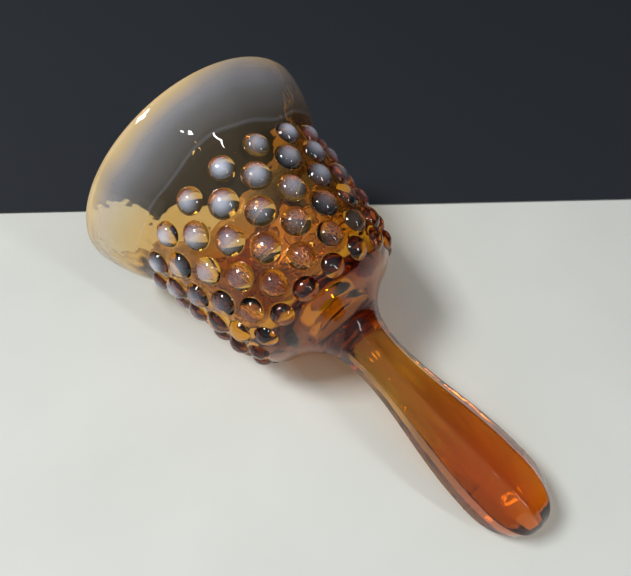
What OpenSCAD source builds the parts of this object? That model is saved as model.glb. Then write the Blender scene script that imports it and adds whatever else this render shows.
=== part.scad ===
// Pressed glass hand bell with a hobnail skirt, a panelled handle and a bead
// clapper on a short chain, laid down on its side.
// Every sub-part is drawn with the bell standing on its rim, axis up, and
// lie_down() turns the whole bell over onto two of its hobs and its handle.
// Angles round the axis are counted from the side that faces the table.

/* [Glass body] */
// Radius of the mouth, at the outside of the lip
rim_r = 43; // [41:0.5:46]
// Height of the bell from lip to tip of the handle
bell_h = 150; // [145:1:160]
// Thickness of the skirt between the hobs
wall = 3.6; // [3:0.1:4.2]
// Height where the smooth lip band ends and the hobs start
band_h = 18.6; // [18:0.1:19]
// Hobs in one ring
hob_count = 17; // [14:1:18]
// Radius of the ball that shapes a hob
hob_r = 4.7; // [4:0.1:5]
// How far a hob stands out of the skirt
hob_out = 2.6; // [2:0.1:3]

/* [Handle] */
// Flat panels round the handle
panels = 8; // [6:1:10]
// Ridge radius of the handle at its neck
neck_r = 7.9; // [7:0.1:9]
// Ridge radius of the handle at its widest
grip_r = 12.1; // [10:0.1:13]

/* [Clapper] */
// Wire of the hanger loop
hanger_d = 1.2; // [1:0.1:1.4]
// Wire of the jump ring, the links and the eye pin
wire_d = 0.9; // [0.8:0.1:1]
// Distance from one link to the next
link_pitch = 4.4; // [4.2:0.1:4.6]
// Radius of the clapper bead
bead_r = 6.5; // [5:0.5:6.5]

/* [Lying] */
// Tilt of the axis once two hobs and a handle panel touch the table
tilt = 13.45; // [13.3:0.05:13.6]

/* [Hidden] */

round_fn = 96;
small_fn = 32;

// Shift along the table that centres the lying bell
lying_shift = -68.2;

// Lip of the mouth: a narrow ground flat between two small roundings
lip_out = 1.4;
lip_in = 1.1;
lip_wall = 3.5;

// Skirt under the hobs: the lip's flare runs into a plain cone up to the shoulder
flare_end = [36.45, band_h - 1.4];
skirt_low = [33.9, band_h + 2.2];
skirt_top = [28.2, 57];
shoulder_mid = [19.5, 68.6];
neck_h = 88;

// Inside of the bell: a cone, a domed crown and a socket for the plug
crown_h = 61;
socket_r = 8.2;
socket_top = 66;

// Height and skirt radius of each hob row
hob_step = 360 / hob_count;
row_h = [23.3, 30.7, 38.9, 47.1, 55.1, 61.2];
row_wall = [for (h = row_h) h < skirt_top[1] ? skirt_at(h) : 25.6];

// The two hobs of the fifth row that carry the lying bell
rest_hob = row_wall[4] + hob_out - hob_r;
rest_h = rest_hob * cos(hob_step / 2) * cos(tilt) + row_h[4] * sin(tilt) + hob_r;

// Clapper, from the hanger down. Each wire is held free_gap off the next.
free_gap = 0.1;
hang_h = 57.5;
loop_r = 2.2;
ring_r = 2.2;
link_r = 1.5;
leg_top = 65;
ring_mid = hang_h + (hanger_d + wire_d) / 2 + free_gap - ring_r;
swing_h = ring_mid - ring_r + wire_d + free_gap;
link_half = (link_pitch + wire_d + free_gap) / 2;
bead_drop = 2 * link_r + 0.6 + bead_r;
pin_head_r = 0.9;
bead_bore_r = wire_d / 2 + 0.05;

// Lean of each pair of links, and of the pin, from the bell's axis
lean = [44, 40, 36, 33];

function skirt_at(h) =
    skirt_low[0] + (skirt_top[0] - skirt_low[0]) * (h - skirt_low[1]) / (skirt_top[1] - skirt_low[1]);

function bezier(a, b, c, d, n) = [
    for (i = [0 : n])
        let (t = i / n, s = 1 - t)
        s * s * s * a + 3 * s * s * t * b + 3 * s * t * t * c + t * t * t * d
];

function arc(mid, r, from, to, n) = [
    for (i = [0 : n])
        let (a = from + (to - from) * i / n)
        mid + r * [cos(a), sin(a)]
];

// Place of the near end of link i, counted from 0, as [away from the axis, height]
function near_end(i) =
    i == 0 ? [0, swing_h] : near_end(i - 1) + link_pitch * along(lean[floor((i - 1) / 2)]);

function along(a) = [sin(a), -cos(a)];

module lie_down() {
    translate([lying_shift, 0, rest_h])
    rotate([0, 90 + tilt, 0])
    children();
}

module outer_skirt() {
    rotate_extrude($fn = round_fn)
    polygon(concat(
        [[0, 0]],
        arc([rim_r - lip_out, lip_out], lip_out, -90, 0, 4),
        bezier([rim_r, lip_out], [42.2, 6.6], [39, 14], flare_end, 7),
        bezier(flare_end, [35.4, 18.5], [34.15, 19.3], skirt_low, 4),
        bezier(skirt_top, [27.35, 62.4], [24.5, 66.6], shoulder_mid, 7),
        bezier(shoulder_mid, [14.6, 70.8], [10.6, 73.6], [9, 78], 6),
        [[0, 84]]
    ));
}

module handle() {
    rotate([0, 0, 180 / panels])
    rotate_extrude($fn = panels)
    polygon(concat(
        [[0, 70]],
        bezier([13, 74], [9.6, 76], [neck_r, 80], [neck_r, neck_h], 5),
        bezier([neck_r, neck_h + 2], [neck_r + 0.4, 104], [grip_r, 116], [grip_r, 131], 8),
        bezier([grip_r, 134], [grip_r, bell_h - 8], [8.2, bell_h], [0, bell_h], 9)
    ));
}

module hobs() {
    for (i = [0 : len(row_h) - 1])
        for (k = [0 : hob_count - 1])
            rotate([0, 0, (k + (i % 2 == 0 ? 0.5 : 0)) * hob_step])
            translate([row_wall[i] + hob_out - hob_r, 0, row_h[i]])
            sphere(r = hob_r, $fn = small_fn);
}

module cavity() {
    inner_r = rim_r - lip_wall;
    low_r = skirt_low[0] - wall;
    top_r = skirt_at(50) - wall;
    rotate_extrude($fn = round_fn)
    polygon(concat(
        [[0, -1], [inner_r + lip_in, -1]],
        arc([inner_r + lip_in, lip_in], lip_in, 270, 180, 3),
        bezier([inner_r, lip_in], [inner_r - 0.8, 7], [low_r + 3, 13], [low_r, 22], 6),
        bezier([top_r, 50], [top_r - 0.6, 56], [20, crown_h], [14, crown_h], 6),
        [[0, crown_h]]
    ));
    translate([0, 0, crown_h - 1])
    cylinder(h = socket_top - crown_h + 1, r = socket_r, $fn = round_fn);
}

module glass_bell() {
    color("orange")
    lie_down()
    difference() {
        union() {
            outer_skirt();
            handle();
            hobs();
        }
        cavity();
    }
}

module cement_plug() {
    color("gainsboro")
    lie_down()
    difference() {
        translate([0, 0, crown_h])
        cylinder(h = socket_top - crown_h, r = socket_r, $fn = round_fn);
        for (side = [-1, 1])
            translate([0, side * loop_r, crown_h - 1])
            cylinder(h = leg_top - crown_h + 1, d = hanger_d, $fn = small_fn);
    }
}

module hanger_loop() {
    color("goldenrod")
    lie_down() {
        translate([0, 0, hang_h + loop_r])
        rotate([90, 0, 90])
        rotate([0, 0, 180])
        rotate_extrude(angle = 180, $fn = 2 * small_fn)
        translate([loop_r, 0])
        circle(d = hanger_d, $fn = small_fn);
        for (side = [-1, 1])
            translate([0, side * loop_r, hang_h + loop_r])
            cylinder(h = leg_top - hang_h - loop_r, d = hanger_d, $fn = small_fn);
    }
}

// Moves a piece that runs along X from the origin to the near end of link i
module on_chain(i) {
    spot = near_end(i);
    lie_down()
    translate([spot[0], 0, spot[1]])
    rotate([0, 90 - lean[floor(i / 2)], 0])
    children();
}

module round_wire(r) {
    rotate_extrude($fn = 2 * small_fn)
    translate([r, 0])
    circle(d = wire_d, $fn = small_fn);
}

module oval_link() {
    straight = 2 * (link_half - link_r);
    translate([link_r, 0, 0]) {
        rotate([0, 0, 90])
        half_wire();
        translate([straight, 0, 0])
        rotate([0, 0, -90])
        half_wire();
        for (side = [-1, 1])
            translate([0, side * link_r, 0])
            rotate([0, 90, 0])
            cylinder(h = straight, d = wire_d, $fn = small_fn);
    }
}

module half_wire() {
    rotate_extrude(angle = 180, $fn = 2 * small_fn)
    translate([link_r, 0])
    circle(d = wire_d, $fn = small_fn);
}

module jump_ring() {
    color("goldenrod")
    lie_down()
    translate([0, 0, ring_mid])
    rotate([90, 0, 0])
    round_wire(ring_r);
}

// Links lie flat and upright in turn
module chain_link(i) {
    color("goldenrod")
    on_chain(i)
    rotate([i % 2 == 0 ? 0 : 90, 0, 0])
    oval_link();
}

module eye_pin() {
    color("goldenrod")
    on_chain(6) {
        translate([link_r, 0, 0])
        round_wire(link_r);
        translate([2 * link_r, 0, 0])
        rotate([0, 90, 0])
        cylinder(h = bead_drop + bead_r - 2 * link_r + 0.1, d = wire_d, $fn = small_fn);
        translate([bead_drop + bead_r + 0.05, 0, 0])
        rotate([0, 90, 0])
        cylinder(h = 0.6, r = pin_head_r, $fn = small_fn);
    }
}

module clapper_bead() {
    color("orange")
    on_chain(6)
    translate([bead_drop, 0, 0])
    rotate([0, 90, 0])
    difference() {
        sphere(r = bead_r, $fn = 2 * small_fn);
        translate([0, 0, -bead_r - 1])
        cylinder(h = 2 * bead_r + 2, r = bead_bore_r, $fn = small_fn);
    }
}

glass_bell();
cement_plug();
hanger_loop();
jump_ring();
chain_link(0);  // chain_link_1
chain_link(1);  // chain_link_2
chain_link(2);  // chain_link_3
chain_link(3);  // chain_link_4
chain_link(4);  // chain_link_5
chain_link(5);  // chain_link_6
eye_pin();
clapper_bead();
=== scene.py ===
import math

import bmesh
import bpy
from mathutils import Matrix, Vector


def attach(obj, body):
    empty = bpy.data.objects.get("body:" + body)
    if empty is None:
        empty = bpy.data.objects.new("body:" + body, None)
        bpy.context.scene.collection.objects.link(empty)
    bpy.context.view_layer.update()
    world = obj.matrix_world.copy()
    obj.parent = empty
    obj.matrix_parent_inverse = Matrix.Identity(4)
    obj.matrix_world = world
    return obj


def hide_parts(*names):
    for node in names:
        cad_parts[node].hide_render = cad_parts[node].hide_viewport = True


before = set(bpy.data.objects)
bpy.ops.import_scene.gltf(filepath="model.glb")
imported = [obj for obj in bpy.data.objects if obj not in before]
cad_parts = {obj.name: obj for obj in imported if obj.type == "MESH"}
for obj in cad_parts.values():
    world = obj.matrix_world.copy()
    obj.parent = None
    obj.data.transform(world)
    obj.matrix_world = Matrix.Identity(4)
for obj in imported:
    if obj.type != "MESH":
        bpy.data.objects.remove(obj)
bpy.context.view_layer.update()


# The bell itself: cup, hobs, neck and eight-sided handle pressed as one piece of amber glass.
# The rim was reheated, which struck the lip and the tops of the hobs milky.
# It lies on two hobs and one panel of the handle, mouth away from the handle's end.
mm = 0.001
hobs_round = 17
panels_round = 8
cuts_per_hob = 8
hob_turn = 2 * math.pi / hobs_round
panel_turn = 2 * math.pi / panels_round
cut_turn = hob_turn / cuts_per_hob

lean = math.radians(90 + 13.45)
lying_shift = -68.2
rest_height = 42.757

wall_foot = (36.45, 17.2)
flare_end = (33.9, 20.8)
wall_top = (28.2, 57.0)
shoulder = (19.5, 68.6)
neck_start = (11.6, 73.7)
seam_height = 133.2
seam_rise = 0.16
seam_half = 0.35
grip_ridge = 12.1

hob_rows = [
    {"height": 23.4, "width": 3.8, "rise": 2.4, "milk": 0.85},
    {"height": 30.7, "width": 4.2, "rise": 2.6, "milk": 0.72},
    {"height": 38.9, "width": 4.2, "rise": 2.6, "milk": 0.46},
    {"height": 47.1, "width": 4.2, "rise": 2.6, "milk": 0.17},
    {"height": 55.1, "width": 3.9, "rise": 2.5, "milk": 0.06},
    {"height": 62.2, "width": 3.5, "rise": 1.8, "milk": 0.02},
]
dome_rings = [0.16, 0.32, 0.47, 0.60, 0.71, 0.81, 0.89, 0.95, 0.985, 1.0]


def bezier(a, b, c, d, steps):
    """Points along a cubic curve, without its first end."""
    line = []
    for i in range(1, steps + 1):
        t = i / steps
        u = 1 - t
        line.append(
            tuple(
                u**3 * a[k] + 3 * u * u * t * b[k] + 3 * u * t * t * c[k] + t**3 * d[k]
                for k in (0, 1)
            )
        )
    return line


def lip_arc(centre, radius, first, last, steps):
    """Points round an edge of the ground lip, angles in degrees from outwards."""
    return [
        (
            centre[0] + radius * math.cos(math.radians(first + (last - first) * i / steps)),
            centre[1] + radius * math.sin(math.radians(first + (last - first) * i / steps)),
        )
        for i in range(steps + 1)
    ]


def smooth_step(low, high, x):
    t = min(max((x - low) / (high - low), 0.0), 1.0)
    return t * t * (3 - 2 * t)


class Wall:
    """The cup's outer wall as a line that hobs are placed along by distance."""

    def __init__(self, line):
        self.line = line
        self.runs = [0.0]
        for a, b in zip(line, line[1:]):
            self.runs.append(self.runs[-1] + math.dist(a, b))
        ends = [line[0], *line, line[-1]]
        self.ways = [Vector(b) - Vector(a) for a, b in zip(ends, ends[2:])]

    def at(self, run):
        """Radius, height and outward direction at a distance up the wall."""
        i = 1
        while i < len(self.runs) - 1 and self.runs[i] < run:
            i += 1
        share = (run - self.runs[i - 1]) / (self.runs[i] - self.runs[i - 1])
        spot = Vector(self.line[i - 1]).lerp(Vector(self.line[i]), share)
        way = self.ways[i - 1].normalized().lerp(self.ways[i].normalized(), share)
        way.normalize()
        return spot.x, spot.y, way.y, -way.x

    def run_at(self, height):
        i = 1
        while self.line[i][1] < height:
            i += 1
        low, high = self.line[i - 1][1], self.line[i][1]
        share = (height - low) / (high - low)
        return self.runs[i - 1] + (self.runs[i] - self.runs[i - 1]) * share


flare = [wall_foot] + bezier(wall_foot, (35.4, 18.5), (34.15, 19.3), flare_end, 12)
straight = [
    (
        flare_end[0] + (wall_top[0] - flare_end[0]) * i / 60,
        flare_end[1] + (wall_top[1] - flare_end[1]) * i / 60,
    )
    for i in range(1, 61)
]
round_top = bezier(wall_top, (27.35, 62.4), (24.5, 66.6), shoulder, 40)
wall = Wall(flare + straight + round_top)

for number, row in enumerate(hob_rows):
    row["run"] = wall.run_at(row["height"])
    row["turned"] = 0.0 if number % 2 else hob_turn / 2


def row_border(number, turn):
    """How far up the wall the border over row number runs, at an angle round the bell.

    It weaves between the staggered hobs of the two rows.
    """
    row = hob_rows[number]
    if number == len(hob_rows) - 1:
        return row["run"] + row["width"] + 0.7
    above = hob_rows[number + 1]
    gap = above["run"] - row["run"]
    both = row["width"] + above["width"]
    middle = row["run"] + gap * row["width"] / both
    swing = max(0.0, (both + 0.7 - gap) / 2) + 0.4
    return middle + swing * math.cos(hobs_round * (turn - row["turned"]))


def border_under(number, turn):
    return 0.0 if number == 0 else row_border(number - 1, turn)


class Slice:
    """A piece of the glass's skin, built once and later repeated round the axis."""

    def __init__(self):
        self.bm = bmesh.new()
        self.milk = self.bm.verts.layers.float.new("hob_milk")
        self.lip = self.bm.verts.layers.float.new("lip_share")
        self.up = self.bm.verts.layers.float.new("up_axis")
        self.row = self.bm.verts.layers.float.new("hob_row")
        self.dome = self.bm.verts.layers.float.new("dome")

    def point(self, radius, height, turn, lip=0.0, milk=0.0, row=-1.0, dome=0.0):
        v = self.bm.verts.new(
            (
                radius * math.cos(turn) * mm,
                radius * math.sin(turn) * mm,
                height * mm,
            )
        )
        v[self.milk] = milk
        v[self.lip] = lip
        v[self.up] = height
        v[self.row] = row
        v[self.dome] = dome
        return v

    def strip(self, low, high):
        """Quads between two lines of points, the second one further along the skin."""
        for i in range(len(low) - 1):
            self.bm.faces.new((low[i], low[i + 1], high[i + 1], high[i]))

    def fan(self, line, tip):
        for i in range(len(line) - 1):
            self.bm.faces.new((line[i], line[i + 1], tip))

    def finished(self, name):
        bmesh.ops.remove_doubles(self.bm, verts=self.bm.verts, dist=0.000002)
        mesh = bpy.data.meshes.new(name)
        self.bm.to_mesh(mesh)
        self.bm.free()
        return bpy.data.objects.new(name, mesh)


skirt = Slice()
slice_turns = [(k - cuts_per_hob / 2) * cut_turn for k in range(cuts_per_hob + 1)]


def lathe(slice_, line, lip=0.0):
    """Turns a line of the section into rings of the skirt's slice."""
    rings = [[slice_.point(r, h, turn, lip) for turn in slice_turns] for r, h in line]
    for low, high in zip(rings, rings[1:]):
        slice_.strip(low, high)
    return rings


outer_lip = (
    lip_arc((41.6, 1.4), 1.4, -90, 0, 6)
    + bezier((43, 1.4), (42.2, 6.6), (39.0, 14.0), wall_foot, 18)
)
lathe(skirt, outer_lip, 1.0)


def cell_border(number, row):
    """Points once round a hob's share of the wall, from its lower left corner."""
    half = cuts_per_hob // 2
    left, right = row["turned"] - hob_turn / 2, row["turned"] + hob_turn / 2
    low, high = border_under(number, left), row_border(number, left)
    climb = [low + (high - low) * k / cuts_per_hob for k in range(cuts_per_hob)]
    drop = [high - (high - low) * k / cuts_per_hob for k in range(cuts_per_hob)]
    over = [row["turned"] + k * cut_turn for k in range(-half, half)]
    back = [row["turned"] + k * cut_turn for k in range(half, -half, -1)]
    return (
        [(turn, border_under(number, turn)) for turn in over]
        + [(right, run) for run in climb]
        + [(turn, row_border(number, turn)) for turn in back]
        + [(left, run) for run in drop]
    )


def hob_point(number, row, x, y):
    """A point of a hob's cell, x round the bell and y up the wall from its middle."""
    size, rise = row["width"], row["rise"]
    ball = (size * size + rise * rise) / (2 * rise)
    away = math.hypot(x, y)
    raised = math.sqrt(ball * ball - away * away) - (ball - rise) if away < size else 0.0
    r, h, out, up = wall.at(row["run"] + y)
    dome = max(0.0, 1 - (away / size) ** 2)
    milk = row["milk"] * dome**2
    turn = row["turned"] + x / wall.at(row["run"])[0]
    lip = 1.0 - smooth_step(0.0, 0.3, dome)
    return skirt.point(r + raised * out, h + raised * up, turn, lip, milk, number, dome)


def press_hob(number, row):
    """One hob and the wall round it, in rings from its top out to the border."""
    size = row["width"]
    radius = wall.at(row["run"])[0]
    border = cell_border(number, row)
    rings = [[] for _ in range(len(dome_rings) + 3)]
    for turn, run in border + border[:1]:
        side = Vector(((turn - row["turned"]) * radius, run - row["run"]))
        gap = side.length - size
        aways = [size * f for f in dome_rings]
        aways += [size + min(0.22, 0.35 * gap), size + 0.6 * gap, side.length]
        for ring, away in zip(rings, aways):
            spot = side.normalized() * away
            ring.append(hob_point(number, row, spot.x, spot.y))
    skirt.fan(rings[0], hob_point(number, row, 0.0, 0.0))
    for low, high in zip(rings, rings[1:]):
        skirt.strip(high, low)


for number, row in enumerate(hob_rows):
    press_hob(number, row)

top_run = row_border(len(hob_rows) - 1, 0.0)
last_run = wall.runs[-1]
shoulder_line = [wall.at(top_run + (last_run - top_run) * i / 5)[:2] for i in range(6)]
neck_curve = bezier(shoulder, (14.6, 70.8), (10.6, 73.6), (9, 78), 24)
shoulder_line += [p for p in neck_curve if p[1] < neck_start[1]]
lathe(skirt, shoulder_line)

cavity_top = 61.0
socket_r = 8.25
inner_wall = (
    [(41.6, 0.0)]
    + lip_arc((40.6, 1.1), 1.1, -90, -180, 5)
    + bezier((39.5, 1.1), (38.7, 7), (33.3, 13), (30.3, 22), 16)
    + [(30.3 + (25.7 - 30.3) * i / 10, 22 + (50 - 22) * i / 10) for i in range(1, 11)]
    + bezier((25.7, 50), (25.1, 56), (20, cavity_top), (14, cavity_top), 14)
    + [(10, cavity_top), (socket_r + 0.3, cavity_top), (socket_r, cavity_top + 0.3)]
    + [(socket_r, 63.5), (socket_r, 65.8), (socket_r - 0.25, 66.05), (4, 66.05)]
)
inner_rings = lathe(skirt, inner_wall[::-1], 0.4)
skirt.fan(inner_rings[0][::-1], skirt.point(0, 66.05, 0))

handle = Slice()
flat_places = [0.15, 0.30, 0.45, 0.60, 0.74, 0.84, 0.90, 0.95]
flat_places = [-p for p in flat_places[::-1]] + [0.0] + flat_places
edge_start = 0.84
edge_wear = 0.012
half_panel = panel_turn / 2
handle_line = (
    bezier((13, 74), (9.6, 76), (7.9, 80), (7.9, 88), 26)
    + [(7.9, 90)]
    + bezier((7.9, 90), (8.3, 104), (grip_ridge, 116), (grip_ridge, 131), 26)
    + [(grip_ridge, seam_height - seam_half)]
    + [(grip_ridge + seam_rise, seam_height)]
    + [(grip_ridge, seam_height + seam_half)]
    + [(grip_ridge, 134)]
    + bezier((grip_ridge, 134), (grip_ridge, 142), (8.2, 150), (0, 150), 26)[:-1]
)


def neck_radius(height):
    """The round neck under the panels."""
    for (r, h), (wide, high) in zip(neck_curve, neck_curve[1:]):
        if h <= height <= high:
            return r + (wide - r) * (height - h) / (high - h)
    return max(9 - 0.25 * (height - 78), 7.0)


def handle_ring(ridge, height):
    """One panel's width of the handle at a height, from ridge to ridge."""
    panelled = smooth_step(74.5, 82, height)
    ring = []
    for k, place in enumerate([-1.0, *flat_places, 1.0]):
        even = (k - 9) * cut_turn if 0 < k < 18 else half_panel * place
        turn = even + (math.atan(place * math.tan(half_panel)) - even) * panelled
        edge = max(0.0, (abs(place) - edge_start) / (1 - edge_start))
        flat = ridge * math.cos(half_panel) / math.cos(turn) * (1 - edge_wear * edge**2)
        radius = neck_radius(height) + (flat - neck_radius(height)) * panelled
        ring.append(handle.point(radius, height, turn))
    return ring


neck_ring = [
    handle.point(*shoulder_line[-1], k * cut_turn)
    for k in range(-9, 9)
]
rings = [handle_ring(r, h) for r, h in handle_line if h > shoulder_line[-1][1] + 0.3]
first = rings[0]
handle.bm.faces.new((neck_ring[0], neck_ring[1], first[0]))
handle.bm.faces.new((neck_ring[1], first[1], first[0]))
handle.strip(neck_ring[1:], first[1:18])
handle.bm.faces.new((neck_ring[17], first[18], first[17]))
for low, high in zip(rings, rings[1:]):
    handle.strip(low, high)
handle.fan(rings[-1], handle.point(0, 150, 0))


def link(tree, start, end):
    tree.links.new(start, end)


def turned_copies():
    """A node group that repeats a slice round its axis and numbers the copies."""
    tree = bpy.data.node_groups.new("turned copies", "GeometryNodeTree")
    tree.interface.new_socket("Slice", in_out="INPUT", socket_type="NodeSocketGeometry")
    count = tree.interface.new_socket("Copies", in_out="INPUT", socket_type="NodeSocketInt")
    count.default_value = 8
    tree.interface.new_socket("Skin", in_out="OUTPUT", socket_type="NodeSocketGeometry")
    given = tree.nodes.new("NodeGroupInput")
    made = tree.nodes.new("NodeGroupOutput")
    spots = tree.nodes.new("GeometryNodeMeshLine")
    spots.inputs["Offset"].default_value = (0, 0, 0)
    number = tree.nodes.new("GeometryNodeInputIndex")
    share = tree.nodes.new("ShaderNodeMath")
    share.operation = "DIVIDE"
    whole = tree.nodes.new("ShaderNodeMath")
    whole.operation = "MULTIPLY"
    whole.inputs[1].default_value = 2 * math.pi
    turn = tree.nodes.new("ShaderNodeCombineXYZ")
    copies = tree.nodes.new("GeometryNodeInstanceOnPoints")
    numbered = tree.nodes.new("GeometryNodeStoreNamedAttribute")
    numbered.data_type = "INT"
    numbered.domain = "INSTANCE"
    numbered.inputs["Name"].default_value = "copy"
    order = tree.nodes.new("GeometryNodeInputIndex")
    solid = tree.nodes.new("GeometryNodeRealizeInstances")
    link(tree, given.outputs["Copies"], spots.inputs["Count"])
    link(tree, number.outputs[0], share.inputs[0])
    link(tree, given.outputs["Copies"], share.inputs[1])
    link(tree, share.outputs[0], whole.inputs[0])
    link(tree, whole.outputs[0], turn.inputs["Z"])
    link(tree, spots.outputs[0], copies.inputs["Points"])
    link(tree, given.outputs["Slice"], copies.inputs["Instance"])
    link(tree, turn.outputs[0], copies.inputs["Rotation"])
    link(tree, copies.outputs[0], numbered.inputs["Geometry"])
    link(tree, order.outputs[0], numbered.inputs["Value"])
    link(tree, numbered.outputs[0], solid.inputs[0])
    link(tree, solid.outputs[0], made.inputs["Skin"])
    return tree


def bell_from_slices():
    """Repeats both slices, welds them into one closed skin and lays it on the table."""
    tree = bpy.data.node_groups.new("bell from slices", "GeometryNodeTree")
    sockets = {
        "Skirt slice": "NodeSocketGeometry",
        "Handle slice": "NodeSocketObject",
        "Hobs round": "NodeSocketInt",
        "Panels round": "NodeSocketInt",
        "Weld distance": "NodeSocketFloat",
        "Lean": "NodeSocketVector",
        "Place": "NodeSocketVector",
        "Seed": "NodeSocketInt",
        "Glass": "NodeSocketMaterial",
    }
    for name, kind in sockets.items():
        tree.interface.new_socket(name, in_out="INPUT", socket_type=kind)
    tree.interface.new_socket("Bell", in_out="OUTPUT", socket_type="NodeSocketGeometry")
    given = tree.nodes.new("NodeGroupInput")
    made = tree.nodes.new("NodeGroupOutput")
    group = turned_copies()
    cup = tree.nodes.new("GeometryNodeGroup")
    cup.node_tree = group
    grip = tree.nodes.new("GeometryNodeGroup")
    grip.node_tree = group
    other = tree.nodes.new("GeometryNodeObjectInfo")
    both = tree.nodes.new("GeometryNodeJoinGeometry")
    weld = tree.nodes.new("GeometryNodeMergeByDistance")
    row_number = tree.nodes.new("GeometryNodeInputNamedAttribute")
    row_number.data_type = "FLOAT"
    row_number.inputs["Name"].default_value = "hob_row"
    copy_number = tree.nodes.new("GeometryNodeInputNamedAttribute")
    copy_number.data_type = "FLOAT"
    copy_number.inputs["Name"].default_value = "copy"
    name_of_hob = tree.nodes.new("ShaderNodeMath")
    name_of_hob.operation = "MULTIPLY_ADD"
    name_of_hob.inputs[1].default_value = 31.0
    chance = tree.nodes.new("FunctionNodeRandomValue")
    chance.data_type = "FLOAT"
    kept = tree.nodes.new("GeometryNodeStoreNamedAttribute")
    kept.data_type = "FLOAT"
    kept.domain = "POINT"
    kept.inputs["Name"].default_value = "hob_chance"
    smooth = tree.nodes.new("GeometryNodeSetShadeSmooth")
    laid = tree.nodes.new("GeometryNodeTransform")
    solid = tree.nodes.new("GeometryNodeRealizeInstances")
    painted = tree.nodes.new("GeometryNodeSetMaterial")
    link(tree, given.outputs["Skirt slice"], cup.inputs["Slice"])
    link(tree, given.outputs["Hobs round"], cup.inputs["Copies"])
    link(tree, given.outputs["Handle slice"], other.inputs["Object"])
    link(tree, other.outputs["Geometry"], grip.inputs["Slice"])
    link(tree, given.outputs["Panels round"], grip.inputs["Copies"])
    link(tree, cup.outputs[0], both.inputs[0])
    link(tree, grip.outputs[0], both.inputs[0])
    link(tree, both.outputs[0], weld.inputs["Geometry"])
    link(tree, given.outputs["Weld distance"], weld.inputs["Distance"])
    link(tree, row_number.outputs[0], name_of_hob.inputs[0])
    link(tree, copy_number.outputs[0], name_of_hob.inputs[2])
    link(tree, name_of_hob.outputs[0], chance.inputs["ID"])
    link(tree, given.outputs["Seed"], chance.inputs["Seed"])
    link(tree, weld.outputs[0], kept.inputs["Geometry"])
    link(tree, chance.outputs[1], kept.inputs["Value"])
    link(tree, kept.outputs[0], smooth.inputs["Geometry"])
    link(tree, smooth.outputs[0], laid.inputs["Geometry"])
    link(tree, given.outputs["Place"], laid.inputs["Translation"])
    link(tree, given.outputs["Lean"], laid.inputs["Rotation"])
    link(tree, laid.outputs[0], solid.inputs[0])
    link(tree, solid.outputs[0], painted.inputs["Geometry"])
    link(tree, given.outputs["Glass"], painted.inputs["Material"])
    link(tree, painted.outputs[0], made.inputs[0])
    return tree


def glass_surface():
    """Fire-polished glass: slow waves in the skin and faint wiping marks."""
    tree = bpy.data.node_groups.new("glass surface", "ShaderNodeTree")
    for name, kind, start in (
        ("Wave size", "NodeSocketFloat", 120.0),
        ("Smear", "NodeSocketFloat", 0.03),
    ):
        socket = tree.interface.new_socket(name, in_out="INPUT", socket_type=kind)
        socket.default_value = start
    for name in ("Height", "Roughness"):
        tree.interface.new_socket(name, in_out="OUTPUT", socket_type="NodeSocketFloat")
    given = tree.nodes.new("NodeGroupInput")
    made = tree.nodes.new("NodeGroupOutput")
    place = tree.nodes.new("ShaderNodeTexCoord")
    waves = tree.nodes.new("ShaderNodeTexNoise")
    waves.inputs["Detail"].default_value = 1.5
    marks = tree.nodes.new("ShaderNodeTexNoise")
    marks.inputs["Scale"].default_value = 55.0
    marks.inputs["Detail"].default_value = 5.0
    spread = tree.nodes.new("ShaderNodeMapRange")
    spread.inputs["From Min"].default_value = 0.45
    spread.inputs["From Max"].default_value = 0.75
    spread.inputs["To Min"].default_value = 0.0
    link(tree, place.outputs["Object"], waves.inputs["Vector"])
    link(tree, place.outputs["Object"], marks.inputs["Vector"])
    link(tree, given.outputs["Wave size"], waves.inputs["Scale"])
    link(tree, marks.outputs[0], spread.inputs["Value"])
    link(tree, given.outputs["Smear"], spread.inputs["To Max"])
    link(tree, waves.outputs[0], made.inputs["Height"])
    link(tree, spread.outputs[0], made.inputs["Roughness"])
    return tree


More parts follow.
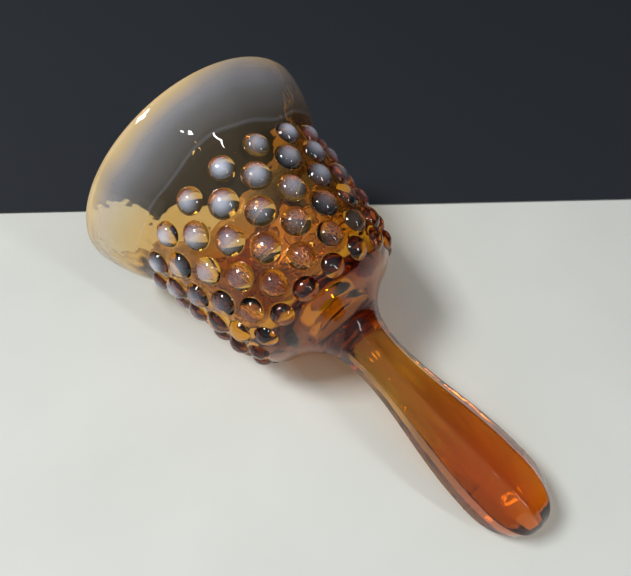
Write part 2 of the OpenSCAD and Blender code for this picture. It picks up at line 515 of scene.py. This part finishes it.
def amber_glass():
    """Amber glass that carries its colour in its depth, with milky glass mixed in."""
    material = bpy.data.materials.new("amber glass")
    material.use_nodes = True
    nodes, tree = material.node_tree.nodes, material.node_tree
    nodes.clear()
    out = nodes.new("ShaderNodeOutputMaterial")
    surface = nodes.new("ShaderNodeGroup")
    surface.node_tree = glass_surface()
    surface.inputs["Wave size"].default_value = 150.0
    surface.inputs["Smear"].default_value = 0.035
    bump = nodes.new("ShaderNodeBump")
    bump.inputs["Strength"].default_value = 0.55
    bump.inputs["Distance"].default_value = 0.0006
    clear = nodes.new("ShaderNodeBsdfPrincipled")
    clear.inputs["IOR"].default_value = 1.52
    clear.inputs["Transmission Weight"].default_value = 1.0
    hob_milk = nodes.new("ShaderNodeAttribute")
    hob_milk.attribute_name = "hob_milk"
    chance = nodes.new("ShaderNodeAttribute")
    chance.attribute_name = "hob_chance"
    uneven = nodes.new("ShaderNodeMapRange")
    uneven.inputs["To Min"].default_value = 0.6
    uneven.inputs["To Max"].default_value = 1.15
    hob_share = nodes.new("ShaderNodeMath")
    hob_share.operation = "MULTIPLY"
    place = nodes.new("ShaderNodeTexCoord")
    height = nodes.new("ShaderNodeAttribute")
    height.attribute_name = "up_axis"
    lip = nodes.new("ShaderNodeAttribute")
    lip.attribute_name = "lip_share"
    drift = nodes.new("ShaderNodeTexNoise")
    drift.inputs["Scale"].default_value = 45.0
    drift.inputs["Detail"].default_value = 0.5
    shift = nodes.new("ShaderNodeMath")
    shift.operation = "MULTIPLY_ADD"
    shift.inputs[1].default_value = 9.0
    from_rim = nodes.new("ShaderNodeMapRange")
    from_rim.inputs["From Min"].default_value = 4.5
    from_rim.inputs["From Max"].default_value = 30.5
    lip_fade = nodes.new("ShaderNodeValToRGB")
    stops = [
        (0.0, 0.85),
        (0.07, 0.66),
        (0.2, 0.36),
        (0.38, 0.17),
        (0.62, 0.06),
        (0.645, 0.14),
        (0.67, 0.02),
        (0.85, 0.0),
    ]
    ramp = lip_fade.color_ramp.elements
    for number, (at, grey) in enumerate(stops):
        stop = ramp[number] if number < 2 else ramp.new(at)
        stop.position = at
        stop.color = (grey, grey, grey, 1)
    tint = nodes.new("ShaderNodeValToRGB")
    tint.color_ramp.elements[0].position = 0.4
    tint.color_ramp.elements[0].color = (1.0, 0.83, 0.62, 1)
    tint.color_ramp.elements[1].position = 0.75
    tint.color_ramp.elements[1].color = (1.0, 0.68, 0.33, 1)
    lip_milk = nodes.new("ShaderNodeMath")
    lip_milk.operation = "MULTIPLY"
    share = nodes.new("ShaderNodeMath")
    share.operation = "MAXIMUM"
    share.use_clamp = True
    milk_colour = nodes.new("ShaderNodeValToRGB")
    milk_colour.color_ramp.elements[0].position = 0.3
    milk_colour.color_ramp.elements[0].color = (0.70, 0.76, 0.92, 1)
    milk_colour.color_ramp.elements[1].position = 0.7
    milk_colour.color_ramp.elements[1].color = (0.90, 0.69, 0.38, 1)
    milky = nodes.new("ShaderNodeBsdfPrincipled")
    milky.inputs["IOR"].default_value = 1.52
    milky.inputs["Transmission Weight"].default_value = 0.25
    both = nodes.new("ShaderNodeMixShader")
    rays = nodes.new("ShaderNodeLightPath")
    open_ = nodes.new("ShaderNodeBsdfTransparent")
    open_.inputs["Color"].default_value = (0.22, 0.20, 0.20, 1)
    shade = nodes.new("ShaderNodeMixShader")
    depth = nodes.new("ShaderNodeVolumeAbsorption")
    depth.inputs["Color"].default_value = (0.93, 0.825, 0.33, 1)
    depth.inputs["Density"].default_value = 255.0
    link(tree, surface.outputs["Height"], bump.inputs["Height"])
    link(tree, surface.outputs["Roughness"], clear.inputs["Roughness"])
    link(tree, surface.outputs["Roughness"], milky.inputs["Roughness"])
    link(tree, bump.outputs[0], clear.inputs["Normal"])
    link(tree, bump.outputs[0], milky.inputs["Normal"])
    link(tree, chance.outputs["Fac"], uneven.inputs["Value"])
    link(tree, hob_milk.outputs["Fac"], hob_share.inputs[0])
    link(tree, uneven.outputs[0], hob_share.inputs[1])
    link(tree, place.outputs["Object"], drift.inputs["Vector"])
    link(tree, drift.outputs[0], shift.inputs[0])
    link(tree, height.outputs["Fac"], shift.inputs[2])
    link(tree, shift.outputs[0], from_rim.inputs["Value"])
    link(tree, from_rim.outputs[0], lip_fade.inputs[0])
    link(tree, lip_fade.outputs[0], lip_milk.inputs[0])
    link(tree, lip.outputs["Fac"], lip_milk.inputs[1])
    link(tree, lip_milk.outputs[0], share.inputs[0])
    link(tree, hob_share.outputs[0], share.inputs[1])
    link(tree, from_rim.outputs[0], tint.inputs[0])
    link(tree, tint.outputs[0], clear.inputs["Base Color"])
    link(tree, lip_fade.outputs[0], milk_colour.inputs[0])
    link(tree, milk_colour.outputs[0], milky.inputs["Base Color"])
    link(tree, share.outputs[0], both.inputs[0])
    link(tree, clear.outputs[0], both.inputs[1])
    link(tree, milky.outputs[0], both.inputs[2])
    link(tree, rays.outputs["Is Shadow Ray"], shade.inputs[0])
    link(tree, both.outputs[0], shade.inputs[1])
    link(tree, open_.outputs[0], shade.inputs[2])
    link(tree, shade.outputs[0], out.inputs["Surface"])
    link(tree, depth.outputs[0], out.inputs["Volume"])
    return material


skirt_slice = skirt.finished("skirt slice")
handle_slice = handle.finished("handle slice")
scene = bpy.context.scene
scene.collection.objects.link(skirt_slice)
scene.collection.objects.link(handle_slice)
build = skirt_slice.modifiers.new("bell", "NODES")
build.node_group = bell_from_slices()
given = {
    "Handle slice": handle_slice,
    "Hobs round": hobs_round,
    "Panels round": panels_round,
    "Weld distance": 0.000004,
    "Lean": (0.0, lean, 0.0),
    "Place": (lying_shift * mm, 0.0, rest_height * mm),
    "Seed": 7,
    "Glass": amber_glass(),
}
for item in build.node_group.interface.items_tree:
    if item.in_out == "INPUT" and item.name in given:
        build[item.identifier] = given[item.name]
seen = bpy.context.evaluated_depsgraph_get()
bell_mesh = bpy.data.meshes.new_from_object(skirt_slice.evaluated_get(seen))
bell = bpy.data.objects.new("pressed_bell", bell_mesh)
scene.collection.objects.link(bell)
bpy.data.objects.remove(skirt_slice)
bpy.data.objects.remove(handle_slice)
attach(bell, "bell")
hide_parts("glass_bell")


# Cement: a plug of grey-white plaster run into the socket at the top of the cup.
# It grips the legs of the wire loop that the clapper hangs from.
def plaster():
    material = bpy.data.materials.new("socket plaster")
    material.use_nodes = True
    nodes, tree = material.node_tree.nodes, material.node_tree
    shader = nodes["Principled BSDF"]
    shader.inputs["Roughness"].default_value = 0.92
    place = nodes.new("ShaderNodeTexCoord")
    grain = nodes.new("ShaderNodeTexNoise")
    grain.inputs["Scale"].default_value = 900.0
    grain.inputs["Detail"].default_value = 6.0
    colour = nodes.new("ShaderNodeValToRGB")
    colour.color_ramp.elements[0].position = 0.35
    colour.color_ramp.elements[0].color = (0.50, 0.47, 0.41, 1)
    colour.color_ramp.elements[1].position = 0.65
    colour.color_ramp.elements[1].color = (0.74, 0.71, 0.64, 1)
    bump = nodes.new("ShaderNodeBump")
    bump.inputs["Strength"].default_value = 0.6
    bump.inputs["Distance"].default_value = 0.0003
    link(tree, place.outputs["Object"], grain.inputs["Vector"])
    link(tree, grain.outputs[0], colour.inputs[0])
    link(tree, grain.outputs[0], bump.inputs["Height"])
    link(tree, colour.outputs[0], shader.inputs["Base Color"])
    link(tree, bump.outputs[0], shader.inputs["Normal"])
    return material


def repaint(node, material):
    """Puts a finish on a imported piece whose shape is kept."""
    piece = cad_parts[node]
    for finish in piece.material_slots:
        finish.material = material
    if not piece.material_slots:
        piece.data.materials.append(material)


repaint("cement_plug", plaster())


# Clapper wire: loop, ring, six soldered links and the eye pin, all bent from drawn brass.
# The metal is unlacquered, so it has dulled brown between the rubbed high spots.
def drawn_brass():
    material = bpy.data.materials.new("dulled brass wire")
    material.use_nodes = True
    nodes, tree = material.node_tree.nodes, material.node_tree
    shader = nodes["Principled BSDF"]
    shader.inputs["Metallic"].default_value = 1.0
    place = nodes.new("ShaderNodeTexCoord")
    dull = nodes.new("ShaderNodeTexNoise")
    dull.inputs["Scale"].default_value = 420.0
    dull.inputs["Detail"].default_value = 4.0
    colour = nodes.new("ShaderNodeValToRGB")
    colour.color_ramp.elements[0].position = 0.38
    colour.color_ramp.elements[0].color = (0.36, 0.21, 0.075, 1)
    colour.color_ramp.elements[1].position = 0.62
    colour.color_ramp.elements[1].color = (0.80, 0.57, 0.23, 1)
    rough = nodes.new("ShaderNodeMapRange")
    rough.inputs["To Min"].default_value = 0.45
    rough.inputs["To Max"].default_value = 0.18
    scratches = nodes.new("ShaderNodeTexNoise")
    scratches.inputs["Scale"].default_value = 2500.0
    bump = nodes.new("ShaderNodeBump")
    bump.inputs["Strength"].default_value = 0.3
    bump.inputs["Distance"].default_value = 0.00005
    link(tree, place.outputs["Object"], dull.inputs["Vector"])
    link(tree, place.outputs["Object"], scratches.inputs["Vector"])
    link(tree, dull.outputs[0], colour.inputs[0])
    link(tree, dull.outputs[0], rough.inputs["Value"])
    link(tree, scratches.outputs[0], bump.inputs["Height"])
    link(tree, colour.outputs[0], shader.inputs["Base Color"])
    link(tree, rough.outputs[0], shader.inputs["Roughness"])
    link(tree, bump.outputs[0], shader.inputs["Normal"])
    return material


brass = drawn_brass()
for node in ("hanger_loop", "jump_ring", "eye_pin"):
    repaint(node, brass)
for number in range(1, 7):
    repaint(f"chain_link_{number}", brass)


# Clapper: a round bead of darker amber glass, bored through for the eye pin.
# Wound from a rod, so faint bands run round it.
def bead_glass():
    material = bpy.data.materials.new("bead glass")
    material.use_nodes = True
    nodes, tree = material.node_tree.nodes, material.node_tree
    shader = nodes["Principled BSDF"]
    shader.inputs["IOR"].default_value = 1.52
    shader.inputs["Transmission Weight"].default_value = 0.7
    surface = nodes.new("ShaderNodeGroup")
    surface.node_tree = bpy.data.node_groups["glass surface"]
    surface.inputs["Wave size"].default_value = 300.0
    surface.inputs["Smear"].default_value = 0.12
    place = nodes.new("ShaderNodeTexCoord")
    wound = nodes.new("ShaderNodeTexWave")
    wound.inputs["Scale"].default_value = 70.0
    wound.inputs["Distortion"].default_value = 3.0
    colour = nodes.new("ShaderNodeValToRGB")
    colour.color_ramp.elements[0].color = (0.52, 0.16, 0.015, 1)
    colour.color_ramp.elements[1].color = (0.80, 0.36, 0.05, 1)
    bump = nodes.new("ShaderNodeBump")
    bump.inputs["Strength"].default_value = 0.25
    bump.inputs["Distance"].default_value = 0.0002
    link(tree, place.outputs["Object"], wound.inputs["Vector"])
    link(tree, wound.outputs[0], colour.inputs[0])
    link(tree, colour.outputs[0], shader.inputs["Base Color"])
    link(tree, surface.outputs["Roughness"], shader.inputs["Roughness"])
    link(tree, surface.outputs["Height"], bump.inputs["Height"])
    link(tree, bump.outputs[0], shader.inputs["Normal"])
    return material


repaint("clapper_bead", bead_glass())


# The pale table, and past its far edge a flat near-black sheet that stands for the unlit room
# beyond it: painted shade. Both only set the scene.
def flat_sheet(name, corners, material):
    mesh = bpy.data.meshes.new(name)
    mesh.from_pydata(corners, [], [(0, 1, 2, 3)])
    mesh.materials.append(material)
    sheet = bpy.data.objects.new(name, mesh)
    scene.collection.objects.link(sheet)
    return sheet


def table_paint():
    material = bpy.data.materials.new("pale table")
    material.use_nodes = True
    nodes, tree = material.node_tree.nodes, material.node_tree
    shader = nodes["Principled BSDF"]
    shader.inputs["Roughness"].default_value = 0.55
    place = nodes.new("ShaderNodeTexCoord")
    cloud = nodes.new("ShaderNodeTexNoise")
    cloud.inputs["Scale"].default_value = 14.0
    cloud.inputs["Detail"].default_value = 6.0
    colour = nodes.new("ShaderNodeValToRGB")
    colour.color_ramp.elements[0].position = 0.3
    colour.color_ramp.elements[0].color = (0.66, 0.68, 0.64, 1)
    colour.color_ramp.elements[1].position = 0.7
    colour.color_ramp.elements[1].color = (0.72, 0.74, 0.70, 1)
    link(tree, place.outputs["Object"], cloud.inputs["Vector"])
    link(tree, cloud.outputs[0], colour.inputs[0])
    link(tree, colour.outputs[0], shader.inputs["Base Color"])
    return material


def painted_shade_beyond_edge():
    material = bpy.data.materials.new("painted shade past the table")
    material.use_nodes = True
    shader = material.node_tree.nodes["Principled BSDF"]
    # Painted shade: near-black colour for the dark beyond the table's far edge, not a real
    # cloth.
    shader.inputs["Base Color"].default_value = (0.010, 0.014, 0.021, 1)
    shader.inputs["Roughness"].default_value = 0.8
    return material


flat_sheet(
    "table",
    [(-1.5, -1.5, 0), (1.5, -1.5, 0), (1.5, 1.5, 0), (-1.5, 1.5, 0)],
    table_paint(),
)
edge_left = Vector((-0.1449, -0.0505, 0.0008))
edge_right = Vector((0.0302, 0.1593, 0.0008))
along_edge = (edge_right - edge_left).normalized()
shade_sheet_left = edge_left - along_edge * 0.9
shade_sheet_right = edge_right + along_edge * 0.9
shade_sheet_away = Vector((-along_edge.y, along_edge.x, 0)) * 0.9
# The painted-shade sheet lies flat just above the table, from its far edge outwards.
flat_sheet(
    "cloth",
    [shade_sheet_left, shade_sheet_right, shade_sheet_right + shade_sheet_away, shade_sheet_left + shade_sheet_away],
    painted_shade_beyond_edge(),
)


# Light and camera: a soft window lamp, a thin strip at the side and a small lamp for glints.
# The sky is brightest on the camera's side and dark behind the bell.
def lamp(name, place, aim, size, power, colour=(1, 1, 1)):
    data = bpy.data.lights.new(name, "AREA")
    data.shape = "RECTANGLE"
    data.size, data.size_y = size
    data.energy = power
    data.color = colour
    light = bpy.data.objects.new(name, data)
    light.location = place
    light.rotation_euler = (Vector(aim) - Vector(place)).to_track_quat("-Z", "Y").to_euler()
    scene.collection.objects.link(light)


middle = (0.0, 0.0, 0.03)
lamp("window", (-0.30, -0.50, 0.88), middle, (0.30, 0.22), 7.9, (1.0, 0.985, 0.97))
lamp("glint", (0.44, -0.31, 0.90), middle, (0.07, 0.045), 0.35)
lamp("side strip", (0.62, 0.08, 0.42), middle, (0.03, 0.40), 1.2)
scene.view_settings.view_transform = "Standard"
world = bpy.data.worlds.new("room")
world.use_nodes = True
sky = world.node_tree.nodes
way = sky.new("ShaderNodeTexCoord")
toward = sky.new("ShaderNodeVectorMath")
toward.operation = "DOT_PRODUCT"
toward.inputs[1].default_value = (0.40, -0.55, 0.73)
glow = sky.new("ShaderNodeValToRGB")
glow.color_ramp.elements[0].position = 0.15
glow.color_ramp.elements[0].color = (0.02, 0.02, 0.022, 1)
glow.color_ramp.elements[1].position = 0.9
glow.color_ramp.elements[1].color = (0.38, 0.40, 0.42, 1)
link(world.node_tree, way.outputs["Generated"], toward.inputs[0])
link(world.node_tree, toward.outputs["Value"], glow.inputs[0])
link(world.node_tree, glow.outputs[0], sky["Background"].inputs["Color"])
scene.world = world

look_right = Vector((0.69516, 0.71781, 0.03868))
look_up = Vector((-0.57914, 0.52737, 0.62167))
look_back = Vector((0.42584, -0.45457, 0.78232))
camera_data = bpy.data.cameras.new("camera")
camera_data.lens = 32.28
camera_data.sensor_width = 36.0
camera_data.shift_x = 0.0064
camera_data.shift_y = 0.0117
camera = bpy.data.objects.new("camera", camera_data)
facing = Matrix((look_right, look_up, look_back)).transposed().to_4x4()
camera.matrix_world = Matrix.Translation((0.063467, -0.082101, 0.16685)) @ facing
scene.collection.objects.link(camera)
scene.camera = camera
